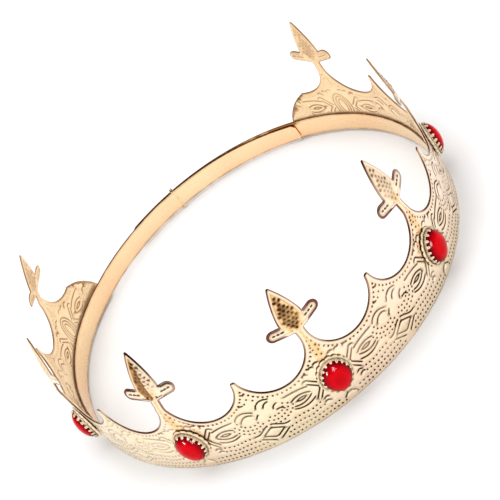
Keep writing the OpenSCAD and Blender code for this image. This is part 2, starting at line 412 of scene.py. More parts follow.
class Relief:
    """How far the stamped sheet stands out or in at any place, as shares of each feature."""

    def __init__(self, dots, strokes):
        outline, rim = plate_outline(FINE_STEP)
        self.outline = tree_of(outline)
        self.rim = tree_of(rim)
        self.dots = tree_of(dots)
        self.lines = tree_of([p for stroke in strokes for p in thicken(stroke, 0.12)])

    def nearest(self, tree, s, z):
        return tree.find((s, z, 0))[2]

    def dot(self, s, z):
        return hollow(self.nearest(self.dots, s, z), DOT_R + (HEAD_DOT_R - DOT_R) * smooth(44, 46, z))

    def stroke(self, s, z):
        return hollow(self.nearest(self.lines, s, z), LINE_R)

    def rim_share(self, s, z):
        width = rim_width(z)
        return 1 - smooth(width - 0.45, width + 0.15, self.nearest(self.rim, s, z))

    def groove(self, s, z):
        """The line that sets off the rim, which is deep on the arrowheads only."""
        away = abs(self.nearest(self.rim, s, z) - rim_width(z) - 0.2)
        return hollow(away, 0.4) * (0.12 + 0.7 * smooth(43, 47, z))

    def marks(self, s, z):
        """Shares of the rim, its groove, a dot and a stroke."""
        return self.rim_share(s, z), self.groove(s, z), self.dot(s, z), self.stroke(s, z)

    def edge(self, s, x, z):
        """Share that is left of an edge's rounding, and how far that edge falls away."""
        away, head = self.nearest(self.outline, s, z), head_share(z)
        arm = head * arm_share(x)
        radius = FOOT_ROUND + (EDGE_ROUND - FOOT_ROUND) * smooth(4, 9, z)
        share = max(0.0, 1 - away / (radius + head * (HEAD_ROUND - EDGE_ROUND))) ** 2
        share += arm * (1 - smooth(ARM_BRIM, ARM_ROUND, away) - share)
        drop = EDGE_DROP + head * (HEAD_DROP - EDGE_DROP)
        return share, drop + arm * (ARM_DROP - drop)


def head_field(x, z, margin=0.0):
    """The sunk kite in an arrowhead, or a kite that is larger by a margin."""
    return smooth(-0.25, 0.35, head_half(z) + margin - abs(x)) * smooth(43.2, 44.4, z)


def by_side(pair, x):
    """A value that differs between the two sides of a tall point's ridge."""
    return pair[0] + (pair[1] - pair[0]) * smooth(-0.3, 0.3, x)


def roof(x, z):
    """The ridge down the middle of a tall point, its two sides sloping away like a roof."""
    half = 1.5 + (head_half(z) - 1.5) * smooth(43, 48, z)
    return ROOF_SLOPE * max(0.0, half - math.hypot(x, 0.15)) * smooth(24, 30, z)


def stem_sheen(x, z):
    """Painted orange highlight up the middle of a stem, along its ridge."""
    return smooth(2.5, 1.5, abs(x)) * smooth(24, 26, z) * smooth(49, 46, z)


def tip_stain(x, z):
    """Tarnish below a short point's tip."""
    return smooth(4.0, 0.5, SHORT_X - abs(x)) * smooth(30.5, 36, z)


def thicken(points, step):
    """The same run of points, with more along it."""
    return chain(*[line(a, b, step) for a, b in zip(points, points[1:])])


def nearest_axis(s):
    """Index of the nearest tall point, and the distance from its axis."""
    i = min(len(LEANS) - 1, max(0, round(s / PITCH + LAST)))
    return i, s - (i - LAST) * PITCH


def outer_face(relief, s, z):
    """Height of the outer face against the ring's radius, and its dirt, edge, warmth and insideness, with
    painted light and shade in the first three.
    """
    i, x = nearest_axis(s)
    rim, groove, dot, stroke = relief.marks(s, z)
    field = head_field(x, z)
    edge, drop = relief.edge(s, x, z)
    height = RIM_RISE * (rim - 1) - 0.12 * groove - HEAD_SUNK * field - drop * edge
    height += (1 - rim) * (roof(x, z) - max(DOT_DEPTH * dot * (1 - 0.5 * field), LINE_DEPTH * stroke))
    # Tarnish of the sunk field by side of the ridge, with painted shade that darkens one side of some
    # arrowheads
    tone = by_side(FIELD_TARNISH_AND_SHADE[i], x)
    dirt_and_shade = (1 - rim) * max(1.4 * dot, 1.1 * stroke ** 2) + 0.5 * groove + 0.05 * field
    # Painted light: the dents' dark fades towards the left, where the plate reflects shaded floor
    dirt_and_shade *= 1 - 0.6 * smooth(0.5 * PITCH, 1.3 * PITCH, -s)
    # The dents' dark fades in the sunk field, most on the lighter side of its painted shade
    dirt_and_shade *= 1 - field * (0.15 + 0.55 * max(0.0, 1 - tone))
    # Stain with painted dark reflection on the edges: none on the bottom edge, set by tall point and side
    # on arrowheads and arms
    stain_and_shade = by_side(HEAD_EDGE_STAIN_AND_REFLECTION[i], x)
    stain_and_shade += arm_share(x) * (ARM_EDGE_STAIN_AND_REFLECTION[i] - stain_and_shade)
    edge *= smooth(1, 6, z) * (1 + (stain_and_shade - 1) * head_share(z))
    # Amber round the field's dots and orange on the slope into the field, scaled by the field's tarnish and
    # painted shade
    beaded = tone * (0.4 + 0.6 * hollow(relief.nearest(relief.dots, s, z), BEAD_R))
    halo = head_field(x, z, 0.9) * min(0.9, 0.5 * tone)
    warm = max(0.45 * stem_sheen(x, z), 0.3 * tip_stain(x, z), halo, field * beaded)
    return height, (min(1.0, dirt_and_shade), edge, warm * (1 - rim), 0.0)


def inner_face(relief, s, z):
    """The same for the inner face, where the pattern stands out instead."""
    _, x = nearest_axis(s)
    rim, groove, dot, stroke = relief.marks(s, z)
    edge, _ = relief.edge(s, 0, z)
    shown, head = smooth(BARE_Z, BARE_Z + 1.2, z), smooth(44, 47, z)
    height = RIM_RISE * rim + EDGE_DROP * edge + (1 - rim) * roof(x, z)
    height -= shown * (1 - rim) * INSIDE_DEPTH * max(0.6 * dot, stroke)
    dirt_and_shade = (1 - rim) * max((0.4 + 0.2 * head) * dot, 0.8 * stroke ** 2) + 0.4 * groove
    return height, (shown * min(1.0, dirt_and_shade), 0.6 * edge, 0.0, 1.0)


# ---------------- plate mesh

class Points:
    """Places for vertices, none nearer to another than it may be."""

    def __init__(self):
        self.cells = {}
        self.all = []

    def free(self, p, gap):
        a, b, reach = int(p[0] // CELL), int(p[1] // CELL), math.ceil(gap / CELL)
        near = (q for i in range(a - reach, a + reach + 1) for j in range(b - reach, b + reach + 1)
                for q in self.cells.get((i, j), ()))
        return all(math.dist(p, q) >= gap for q in near)

    def add(self, p, gap=0.0):
        if gap and not self.free(p, gap):
            return
        self.cells.setdefault((int(p[0] // CELL), int(p[1] // CELL)), []).append(p)
        self.all.append(p)


def beside(points, offsets):
    """Rows beside a run of points, at distances to its left."""
    rows = []
    for k, p in enumerate(points):
        before, after = points[max(0, k - 1)], points[min(len(points) - 1, k + 1)]
        dx, dz = after[0] - before[0], after[1] - before[1]
        size = math.hypot(dx, dz) or 1.0
        rows += [(d, (p[0] - dz / size * d, p[1] + dx / size * d)) for d in offsets]
    return rows


def add_dots(places, dots, rings):
    """Vertices in each dot's middle and on hexagons round it."""
    for k, (s, z) in enumerate(dots):
        places.add((s, z), 0.3)
        for n, radius in enumerate(rings):
            for m in range(6):
                a = math.radians(60 * m + 30 * (n + k % 2))
                places.add((s + radius * math.cos(a), z + radius * math.sin(a)), 0.17)


def add_strokes(places, strokes, offsets, gap):
    """Vertices in rows along each stroke."""
    for stroke in strokes:
        for _, p in beside(stroke, offsets):
            places.add(p, gap)


def add_rim(places, rim, tree, offsets):
    """Vertices in rows along the rim, left out where a row nears another stretch of it."""
    for d, p in beside(rim, [-d for d in offsets]):
        if tree.find((p[0], p[1], 0))[2] > -0.93 * d:
            places.add(p, 0.16)


def add_field(places, low, high, pitch, gap):
    """A staggered grid over the rest."""
    row_h = pitch * math.sqrt(3) / 2
    for j in range(int((high[1] - low[1]) / row_h) + 1):
        for i in range(int((high[0] - low[0]) / pitch) + 1):
            places.add((low[0] + (i + 0.5 * (j % 2)) * pitch, low[1] + j * row_h), gap)


def sheet_side(relief, outline, rim, dots, strokes, outer):
    """Vertices (s, z) and triangles of one face of the plate, and its outline's vertices in order."""
    places = Points()
    for p in outline:
        places.add(p)
    if outer:
        dots = [p for p in dots if not under_bezel(*p)]
        strokes = [s for s in strokes if not under_bezel(*s[0])]
    inside = [p for p in dots if relief.nearest(relief.outline, *p) > 0.9]
    add_dots(places, inside, (0.25, 0.6) if outer else (0.5,))
    add_strokes(places, strokes, (0, -0.22, 0.22, -0.52, 0.52), 0.19 if outer else 0.27)
    rows = (0.14, 0.45, 0.8, 1.2, 1.65, 1.95, 2.25, 2.6) if outer else (0.2, 0.7, 1.6, 2.3)
    add_rim(places, rim, relief.rim, rows)
    low, high = (outline[0][0] - 2, 0.9), (-outline[0][0] + 2, CROWN_H)
    add_field(places, low, (high[0], 45), 1.4 if outer else 2.2, 0.75 if outer else 1.2)
    add_field(places, (low[0], 45), high, 0.8 if outer else 1.2, 0.45 if outer else 0.6)
    coords = [Vector(p) for p in places.all]
    border_face = list(range(len(outline)))
    vertices, _, faces, origins, *_ = delaunay_2d_cdt(coords, [], [border_face], 1, 1e-6)
    border = {source: k for k, sources in enumerate(origins) for source in sources if source < len(outline)}
    used = sorted({k for face in faces for k in face})
    number = {k: n for n, k in enumerate(used)}
    faces = [[number[k] for k in face] for face in faces]
    return [vertices[k] for k in used], faces, [number[border[k]] for k in range(len(outline))]


def bend(p, lean):
    """Leans a place on the front tall point about its bend."""
    share = smooth(BEND_Z - BEND_HALF, BEND_Z + BEND_HALF, p.z)
    pivot = Vector((0, PLATE_T / 2 - RING_R, BEND_Z))
    return pivot + Matrix.Rotation(-math.radians(lean) * share, 3, "X") @ (p - pivot)


def on_ring(s, z, radius):
    """The place in the frame, in millimetres, of a point of the flat drawing."""
    i, x = nearest_axis(s)
    a = x / RING_R
    p = Vector((radius * math.sin(a), -radius * math.cos(a), z))
    if z > BEND_Z - BEND_HALF and abs(x) < SCALLOP_X:
        p = bend(p, LEANS[i])
    return Matrix.Rotation(math.radians((i - LAST) * PITCH_A), 3, "Z") @ p


def new_object(name, vertices, faces, material, **values):
    """A smooth mesh object from vertices in millimetres, with a float attribute for each of values."""
    mesh = bpy.data.meshes.new(name)
    mesh.from_pydata([Vector(v) * MM for v in vertices], [], faces)
    mesh.polygons.foreach_set("use_smooth", [True] * len(mesh.polygons))
    for key, numbers in values.items():
        mesh.attributes.new(key, "FLOAT", "POINT").data.foreach_set("value", numbers)
    mesh.materials.append(material)
    mesh.update()
    piece = bpy.data.objects.new(name, mesh)
    bpy.context.scene.collection.objects.link(piece)
    return piece


def enter(piece, body, node):
    """Puts a piece on its body and hides the CAD node that it stands for."""
    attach(piece, body)
    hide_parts(node)


def make_plate(material):
    """The stamped plate: two embossed faces and the edge between them."""
    dots, strokes = pattern()
    rng = random.Random(4)
    dots = [tuple(v + rng.uniform(-DOT_WANDER, DOT_WANDER) for v in p) for p in dots]
    relief = Relief(dots, strokes)
    outline, rim = plate_outline(MESH_STEP)
    vertices, faces, shares, borders = [], [], [], []
    for outer in (True, False):
        flat, triangles, border = sheet_side(relief, outline, rim, dots, strokes, outer)
        start = len(vertices)
        for p in flat:
            height, share = (outer_face if outer else inner_face)(relief, p.x, p.y)
            vertices.append(on_ring(p.x, p.y, (RING_R if outer else RING_R - PLATE_T) + height))
            shares.append(share)
        faces += [[start + k for k in (t if outer else reversed(t))] for t in triangles]
        borders.append([start + k for k in border])
    for k in range(len(outline)):
        n = (k + 1) % len(outline)
        faces.append([borders[0][k], borders[0][n], borders[1][n], borders[1][k]])
    recess, edge, warm, inside = zip(*shares)
    plate = new_object("crown_plate_stamped", vertices, faces, material,
                       recess=recess, edge=edge, warm=warm, inside=inside)
    enter(plate, "crown", "crown_plate")


# ---------------- lofted shapes

def loft(rows, join=False, cap_start=False, cap_end=False):
    """Faces between closed rows of equally many points. join also joins the last row to the first."""
    count = len(rows[0])
    vertices = [p for row in rows for p in row]
    faces = []
    for j in range(len(rows) if join else len(rows) - 1):
        a, b = j * count, (j + 1) % len(rows) * count
        for k in range(count):
            n = (k + 1) % count
            faces.append([a + k, a + n, b + n, b + k])
    if cap_start:
        faces.append(list(reversed(range(count))))
    if cap_end:
        faces.append(list(range(len(vertices) - count, len(vertices))))
    return vertices, faces


def joined(parts):
    """One list of vertices and one of faces from several pairs."""
    vertices, faces = [], []
    for some_vertices, some_faces in parts:
        faces += [[len(vertices) + k for k in face] for face in some_faces]
        vertices += some_vertices
    return vertices, faces


def fillet(points, radius, steps=5):
    """Rounds the corners of a run of straight lines in space."""
    rounded = [points[0]]
    for before, corner, after in zip(points, points[1:], points[2:]):
        a = corner + (before - corner).normalized() * radius
        b = corner + (after - corner).normalized() * radius
        shares = [k / steps for k in range(steps + 1)]
        rounded += [a.lerp(corner, u).lerp(corner.lerp(b, u), u) for u in shares]
    return rounded + [points[-1]]


def tube(path, radius, sides=12):
    """A round wire along a path, with domed ends."""
    start, end = (path[0] - path[1]).normalized(), (path[-1] - path[-2]).normalized()
    turns = [math.radians(a) for a in (80, 55, 30)]
    stations = [(path[0] + start * radius * math.sin(a), radius * math.cos(a)) for a in turns]
    stations += [(p, radius) for p in path]
    stations += [(path[-1] + end * radius * math.sin(a), radius * math.cos(a)) for a in reversed(turns)]
    rows, across = [], Vector((0.3, 0.9, 0.1))
    for k, (p, r) in enumerate(stations):
        along = (stations[min(k + 1, len(stations) - 1)][0] - stations[max(k - 1, 0)][0]).normalized()
        across = (across - along * across.dot(along)).normalized()
        other = along.cross(across)
        angles = [2 * math.pi * m / sides for m in range(sides)]
        rows.append([p + across * r * math.cos(a) + other * r * math.sin(a) for a in angles])
    return loft(rows, cap_start=True, cap_end=True)


# ---------------- stones and bezels

OVAL_END_R = 0.28 * GEM_H
OVAL_END_Y = GEM_H / 2 - OVAL_END_R
OVAL_SIDE_R = (OVAL_END_Y ** 2 + (GEM_W / 2) ** 2 - OVAL_END_R ** 2) / (GEM_W - 2 * OVAL_END_R)
OVAL_SIDE_X = OVAL_SIDE_R - GEM_W / 2
OVAL_JOIN = math.degrees(math.atan2(OVAL_END_Y, OVAL_SIDE_X))


def oval_walk(count):
    """Points and outward directions at even steps round a stone's outline, from its right side up."""
    side, end, join = OVAL_SIDE_R, OVAL_END_R, OVAL_JOIN
    arcs = [((-OVAL_SIDE_X, 0), side, 0, join), ((0, OVAL_END_Y), end, join, 180 - join),
            ((OVAL_SIDE_X, 0), side, 180 - join, 180 + join),
            ((0, -OVAL_END_Y), end, 180 + join, 360 - join), ((-OVAL_SIDE_X, 0), side, 360 - join, 360)]
    total = sum(r * (to - start) for _, r, start, to in arcs)
    walk = []
    for k in range(count):
        at = total * k / count
        for (x, y), r, start, to in arcs:
            if at <= r * (to - start):
                a = math.radians(start + at / r)
                walk.append(((x + r * math.cos(a), y + r * math.sin(a)), (math.cos(a), math.sin(a))))
                break
            at -= r * (to - start)
    return walk


def on_face(i, u, v, w):
    """The place in the frame of a point on the plate's face at tall point i."""
    p = Vector((u, -RING_R - w, GEM_Z + v))
    return Matrix.Rotation(math.radians((i - LAST) * PITCH_A), 3, "Z") @ p


def lobe(phase):
    """How far a flange's edge stands out between its scallops, from 0 to 1."""
    return abs(math.cos(math.pi * phase)) ** 0.55


def bezel_section(phase):
    """Points (offset from the stone's outline, w) round the section of a flange and its cup."""
    out = 1.25 + 0.7 * lobe(phase)
    notch = 0.12 * (1 - lobe(phase))
    flange = [(-1.0, 0.36), (out - 0.25, 0.36), (out - 0.06, 0.43), (out, 0.58), (out - 0.06, 0.76),
              (out - 0.22, 0.85), (1.0, 0.80 - notch), (0.72, 0.82 - notch)]
    cup = [(0.6, 0.95), (0.57, 1.2), (0.55, 1.5), (0.46, 1.62),
           (0.26, 1.62), (0.14, 1.5), (0.1, 1.0), (-1.0, 0.9)]
    return flange + cup


def settled(i, u, v, w):
    """A place on the flange, its underside let down onto the round plate."""
    return on_face(i, u, v, w - max(0.0, 0.85 - w) * (0.4 + 0.011 * u * u))


def flange_and_cup(i):
    """The flange and cup, the foot that joins them to the plate, and the painted shade on all their points.
    """
    count = CLAWS * 12
    walk = oval_walk(count)
    sections = [bezel_section(k * CLAWS / count) for k in range(count)]
    rows = [[settled(i, p[0] + n[0] * section[j][0], p[1] + n[1] * section[j][0], section[j][1])
             for (p, n), section in zip(walk, sections)] for j in range(len(sections[0]))]
    inner = [(p[0] - 1.6 * n[0], p[1] - 1.6 * n[1]) for p, n in walk[::4]]
    foot = [[on_face(i, u, v, w) for u, v in inner] for w in (-0.6, 0.4)]
    # Painted shade by place in the section: under the flange, in its groove, up the cup and inside the cup
    shade = {0: 1.0, 1: 0.8, 5: 0.2, 6: 0.6, 7: 1.0, 8: 0.8, 9: 0.5, 10: 0.5, 13: 0.6, 14: 1.0, 15: 1.0}
    dirt_and_shade = [shade.get(j, 0.0) for j in range(len(rows)) for _ in range(count)]
    # The foot under the flange is all painted shade
    return [loft(rows, join=True), loft(foot)], dirt_and_shade + [1.0] * (2 * len(foot[0]))


def claw(i, at, rng):
    """One bent, round-ended claw with a hollow down its middle."""
    (px, py), (nx, ny) = at
    spine = bow((0.66, 0.9), (0.72, 2.0), (-0.08, 3.0), 0.26)
    length, lean = rng.uniform(0.86, 1.0), rng.uniform(-0.05, 0.1)
    spine = [(d + lean * (w - 0.9), 0.9 + (w - 0.9) * length) for d, w in spine]
    rows, dirt_and_shade = [], []
    for k, (d, w) in enumerate(spine):
        share = k / (len(spine) - 1)
        before, after = spine[max(k - 1, 0)], spine[min(k + 1, len(spine) - 1)]
        size = math.dist(before, after)
        out = ((after[1] - before[1]) / size, -(after[0] - before[0]) / size)
        end = math.sqrt(max(0.0, 1 - max(0.0, (share - 0.72) / 0.29) ** 2))
        half, thick = CLAW_HALF * end, CLAW_T * (0.35 + 0.65 * end)
        dent = CLAW_DENT * smooth(0.95, 0.7, share) * smooth(0.0, 0.2, share)
        section = [(-half, 0), (-0.72 * half, thick), (-0.3 * half, thick - dent),
                   (0.3 * half, thick - dent), (0.72 * half, thick), (half, 0),
                   (0.6 * half, -thick), (-0.6 * half, -thick)]
        places = [(d + out[0] * q, t, w + out[1] * q) for t, q in section]
        rows.append([on_face(i, px + nx * r - ny * t, py + ny * r + nx * t, h) for r, t, h in places])
        # Painted shade at a claw's root, down its sides and in its hollow
        low, middle = 0.7 * smooth(0.45, 0.1, share), 0.4 if dent > 0.05 else 0.0
        dirt_and_shade += [max(low, dark) for dark in (0.5, 0.0, middle, middle, 0.0, 0.5, 0.0, 0.0)]
    return loft(rows, cap_start=True, cap_end=True), dirt_and_shade


def make_bezel(i, material):
    """A lobed flange and cup with a ring of claws."""
    rng = random.Random(20 + i)
    parts, recess = flange_and_cup(i)
    for at in oval_walk(CLAWS):
        shape, dirt_and_shade = claw(i, at, rng)
        parts.append(shape)
        recess += dirt_and_shade
    bezel = new_object(f"bezel_claws_{i + 1}", *joined(parts), material, recess=recess)
    enter(bezel, "crown", f"bezel_{i + 1}")
    return bezel


def make_gem(i, material):
    """A domed oval stone with a slightly uneven polish."""
    walk = oval_walk(72)
    spread = GEM_W / (GEM_W + 0.3)
    section = [(0.99, GEM_FOOT_W), (1, 0.95), (1, 1.5), (1, 2.1)]
    for a in range(GIRDLE_A, 0, -5):
        share = math.sin(math.radians(a)) / math.sin(math.radians(GIRDLE_A))
        section.append((share, GIRDLE_W + GEM_DOME * math.sqrt(1 - (share * spread) ** 2)))
    points = [[on_face(i, p[0] * share, p[1] * share, w) for p, _ in walk] for share, w in section]
    rise = GIRDLE_W + GEM_DOME - GEM_FOOT_W
    height = [(w - GEM_FOOT_W) / rise for _, w in section for _ in walk]
    gem = new_object(f"stone_{i + 1}", *loft(points, cap_start=True, cap_end=True), material, dome=height)
    enter(gem, "crown", f"gem_{i + 1}")
    return gem


# ---------------- head band

# Azimuths, which end in _A, are in degrees from the front towards +X
STRAP_T = 0.7
STRAP_LOW, STRAP_HIGH = (corner.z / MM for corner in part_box("right_strap"))
STRAP_HALF = (STRAP_HIGH - STRAP_LOW) / 2
STRAP_Z = (STRAP_LOW + STRAP_HIGH) / 2
STRAP_CORNER = 2.5
STRAP_ROUND_R = 0.3
RIGHT_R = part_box("right_strap")[1].x / MM
SLIDE_GAP = 0.2
LEFT_R = RIGHT_R - STRAP_T - SLIDE_GAP
TURN_OUT_A = 219
TURN_OUT_SPAN = 21
ROOT_A = 30
LEFT_END_A = 140
RIGHT_END_A = 200
KEEPER_A = 183
WIRE_R = 0.4
WIRE_BEND_R = 0.55
TAPER = 1.3
TAPER_LENGTH = 65.0
TOP_BAND_W = 2.4


def strap_section(half, thick, round_r):
    """Points (outwards, up) round a strap's section, from its top outer corner."""
    corners = []
    for x, z, start in ((1, 1, 90), (1, -1, 0), (-1, -1, -90), (-1, 1, -180)):
        centre = (x * (thick - round_r), z * (half - round_r))
        corners.append(arc(centre, round_r, start, start - 90, round_r * 0.5))
    faces = [line(corners[k][-1], corners[(k + 1) % 4][0], half / 5 if k % 2 == 0 else thick * 4)[1:-1]
             for k in range(4)]
    return [p for corner, face in zip(corners, faces) for p in corner + face]


def strap_half(to_end):
    """Half of a strap's width at a distance from its free end, whose corners are rounded."""
    inset = max(0.0, STRAP_CORNER - to_end)
    return STRAP_HALF - STRAP_CORNER + math.sqrt(max(0.0, STRAP_CORNER ** 2 - inset ** 2))


def left_strap_r(a):
    """Radius of the left strap's outer face, which turns out to the plate beyond the right strap."""
    return LEFT_R + (RIGHT_R - LEFT_R) * smooth(TURN_OUT_A, TURN_OUT_A + TURN_OUT_SPAN, math.degrees(a))


def right_strap_r(_):
    """The same for the right strap, which is round all along."""
    return RIGHT_R


def stain_and_shade_by_left_end(a):
    """Stain and painted shade on the right strap's top above the left one, strongest at that one's end."""
    return smooth(KEEPER_A + 4, LEFT_END_A + 12, a) * smooth(LEFT_END_A - 2, LEFT_END_A, a)


def strap_thick(to_end):
    """Half of a strap's thickness at a distance from its nearest end."""
    inset = max(0.0, STRAP_ROUND_R - to_end)
    return STRAP_T / 2 - STRAP_ROUND_R + math.sqrt(max(0.01, STRAP_ROUND_R ** 2 - inset ** 2))


def strap(name, node, body, span, material, radius, taper=0.0, top_stain_and_shade=None):
    """A flat sprung strip round the ring from its root's azimuth to a free end with rounded corners.

    taper makes its top that much lower at its end, and the last argument gives the stain and painted shade
    along its top edge.
    """
    root, end = span
    length = abs(math.radians(end - root)) * RIGHT_R
    distances = [0.0, 0.08, 0.25, 0.5, 0.9, 1.4, 2.0, 2.6] + [4 + 2 * k for k in range(int(length / 2) - 3)]
    distances += [length - d for d in (1, 0.3, 0.1, 0.0)]
    rows, edge = [], []
    for d in distances:
        a = math.radians(end - d / length * (end - root))
        thick = strap_thick(min(d, length - d))
        cut = taper / 2 * smooth(TAPER_LENGTH, 0, d)
        section = strap_section(strap_half(d) - cut, thick, min(STRAP_ROUND_R, thick))
        middle = radius(a) - STRAP_T / 2
        places = [(middle + x, z - cut) for x, z in section]
        rows.append([Vector((r * math.sin(a), -r * math.cos(a), STRAP_Z + z)) for r, z in places])
        # Stain and painted shade along the top, where the other strap's end lies inside
        stain_and_shade = 1.5 * top_stain_and_shade(math.degrees(a)) if top_stain_and_shade else 0.0
        for _, z in places:
            top = smooth(STRAP_HALF - TOP_BAND_W, STRAP_HALF - 1.2, z)
            edge.append(max(smooth(STRAP_HALF - 0.8, STRAP_HALF, abs(z)), stain_and_shade * top))
    piece = new_object(name, *loft(rows, cap_start=True, cap_end=True), material, edge=edge)
    enter(piece, body, node)


def make_keeper(material):
    """Wire wrapped once round both straps, its two ends side by side over the top."""
    low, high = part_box("wire_keeper")
    inner, outer = LEFT_R - STRAP_T - SLIDE_GAP - WIRE_R, RIGHT_R + WIRE_R
    bottom, top = low.z / MM + WIRE_R, high.z / MM - WIRE_R
    side = 2 * WIRE_R + 0.1
    turn = Matrix.Rotation(math.radians(KEEPER_A), 3, "Z")
    corners = [(0, outer, top), (0, inner, top), (0, inner, bottom),
               (side, outer, bottom), (side, outer, top), (side, inner, top)]
    path = fillet([Vector((x, -y, z)) for x, y, z in corners], WIRE_BEND_R)
    keeper = new_object("keeper_wire_wrap", *tube([turn @ p for p in path], WIRE_R), material)
    enter(keeper, "right_band", "wire_keeper")


# ---------------- materials

class Finish:
    """A material's node tree, and short ways to add to it."""

    def __init__(self, name):
        self.material = bpy.data.materials.new(name)
        self.material.use_nodes = True
        self.tree = self.material.node_tree
        self.shader = self.tree.nodes["Principled BSDF"]
        self.place = self.tree.nodes.new("ShaderNodeTexCoord").outputs["Object"]

    def add(self, kind, inputs=None, **settings):
        """Adds a node. A value of inputs is a number, a colour or another node's output."""
        node = self.tree.nodes.new(kind)
        for key, value in settings.items():
            setattr(node, key, value)
        for key, value in (inputs or {}).items():
            if isinstance(value, bpy.types.NodeSocket):
                self.tree.links.new(value, node.inputs[key])
            else:
                node.inputs[key].default_value = value
        return node

    def noise(self, scale, detail, stretch=(1, 1, 1)):
        place = self.add("ShaderNodeMapping", {"Vector": self.place, "Scale": stretch}).outputs[0]
        inputs = {"Vector": place, "Scale": scale, "Detail": detail}
        return self.add("ShaderNodeTexNoise", inputs).outputs["Fac"]

    def spread(self, value, low, high, to_low=0.0, to_high=1.0):
        """Maps low..high of a value to to_low..to_high."""
        inputs = {"Value": value, "From Min": low, "From Max": high, "To Min": to_low, "To Max": to_high}
        return self.add("ShaderNodeMapRange", inputs).outputs["Result"]

    def patches(self, scale, detail, low, high, to_low=0.0, to_high=1.0):
        """Noise whose values from low to high become to_low to to_high."""
        return self.spread(self.noise(scale, detail), low, high, to_low, to_high)

    def attribute(self, name):
        return self.add("ShaderNodeAttribute", attribute_name=name).outputs["Fac"]

    def product(self, a, b):
        return self.add("ShaderNodeMath", {0: a, 1: b}, operation="MULTIPLY").outputs[0]

    def total(self, a, b):
        return self.add("ShaderNodeMath", {0: a, 1: b}, operation="ADD").outputs[0]

    def mix(self, share, a, b):
        """A colour share of the way from a to b."""
        return self.add("ShaderNodeMix", {"Factor": share, 6: a, 7: b}, data_type="RGBA").outputs[2]

    def bump(self, height, distance, strength):
        """A bump, its distance in metres."""
        inputs = {"Height": height, "Distance": distance, "Strength": strength}
        return self.add("ShaderNodeBump", inputs).outputs["Normal"]

    def set(self, **inputs):
        """Sets or links the shader's own sockets, named with _ for spaces."""
        for key, value in inputs.items():
            socket = self.shader.inputs[key.replace("_", " ")]
            if isinstance(value, bpy.types.NodeSocket):
                self.tree.links.new(value, socket)
            else:
                socket.default_value = value


# Colours, in linear light
CHAMPAGNE = (0.97, 0.82, 0.58, 1)
BLUSH = (1.0, 0.80, 0.61, 1)
PEACH = (1.0, 0.76, 0.47, 1)
HONEY = (0.84, 0.55, 0.24, 1)
ORANGE = (0.94, 0.60, 0.26, 1)
AMBER = (0.33, 0.15, 0.05, 1)
PATINA_AND_SHADE = (0.07, 0.03, 0.012, 1)
BURGUNDY = (0.13, 0.018, 0.012, 1)
RUST = (0.34, 0.14, 0.04, 1)
IVORY = (1.0, 0.82, 0.57, 1)
COPPER = (0.98, 0.62, 0.36, 1)
APRICOT = (0.98, 0.74, 0.45, 1)
GARNET = (0.12, 0.0, 0.003, 1)
RUBY = (0.66, 0.0, 0.005, 1)
CARMINE = (0.46, 0.0, 0.004, 1)
SCARLET = (0.82, 0.001, 0.008, 1)
CARD_SHADE = (0.93, 0.93, 0.93, 1)
CARD_WHITE = (0.95, 0.95, 0.95, 1)


def plate_gold():
    """Pale gilt sheet, dark in its dents, orange on its ridges as painted highlight, stained edges with
    painted dark reflection, and a warmer, duller tone inside that is partly painted reflection.
    """
    gold = Finish("stamped_gilt")
    grain, inside = gold.noise(900, 5), gold.attribute("inside")
    tone = gold.mix(gold.patches(11, 2, 0.4, 0.6), CHAMPAGNE, BLUSH)
    # A warmer inside, partly painted reflection of gold on gold
    tone = gold.mix(inside, tone, PEACH)
    tone = gold.mix(gold.patches(60, 3, 0.45, 0.7, 0.0, 0.22), tone, HONEY)
    # Orange and amber: stain below the short points, and painted highlight and shade on the stems and
    # arrowheads
    warm = gold.product(gold.attribute("warm"), gold.patches(220, 3, 0.3, 0.65, 0.6, 1.0))
    tone = gold.mix(gold.spread(warm, 0.0, 0.5), tone, ORANGE)
    tone = gold.mix(gold.spread(warm, 0.4, 0.9, 0.0, 0.95), tone, AMBER)
    # Patina in the dents and groove, faded by the painted light and shade of the pattern
    dirt_and_shade = gold.product(gold.attribute("recess"), gold.patches(75, 3, 0.38, 0.58, 0.72, 1.35))
    tone = gold.mix(dirt_and_shade, tone, gold.mix(inside, PATINA_AND_SHADE, RUST))
    # Burgundy outside and rust inside on the edges: stain, with painted dark reflection
    edge_stain_and_reflection = gold.spread(gold.attribute("edge"), 0.05, 0.35)
    edge_stain_and_reflection = gold.product(edge_stain_and_reflection, gold.patches(70, 3, 0.35, 0.6, 0.55, 0.95))
    tone = gold.mix(edge_stain_and_reflection, tone, gold.mix(inside, BURGUNDY, RUST))
    rough = gold.spread(grain, 0.3, 0.7, 0.13, 0.24)
    for share, rise in ((dirt_and_shade, 0.35), (inside, 0.15)):
        rough = gold.total(rough, gold.product(share, rise))
    ripple = gold.total(gold.product(gold.noise(240, 2), 0.6), gold.product(grain, 0.25))
    gold.set(Base_Color=tone, Metallic=gold.spread(inside, 0.0, 1.0, 1.0, 0.55), Roughness=rough,
             Normal=gold.bump(ripple, 0.00012, 0.5))
    return gold.material


def bezel_gold():
    """Pale thin gilt, with painted shade between its claws, under its flange and in its groove."""
    gold = Finish("bezel_gilt")
    tone = gold.mix(gold.patches(300, 3, 0.4, 0.7, 0.0, 0.3), IVORY, HONEY)
    # Painted shade from the recess share, in dark brown
    dirt_and_shade = gold.product(gold.attribute("recess"), gold.patches(90, 3, 0.38, 0.6, 0.7, 1.2))
    tone = gold.mix(dirt_and_shade, tone, PATINA_AND_SHADE)
    gold.set(Base_Color=tone, Metallic=0.3, Roughness=gold.patches(1500, 4, 0.3, 0.7, 0.22, 0.36),
             Normal=gold.bump(gold.noise(900, 3), 0.00005, 0.5))
    return gold.material


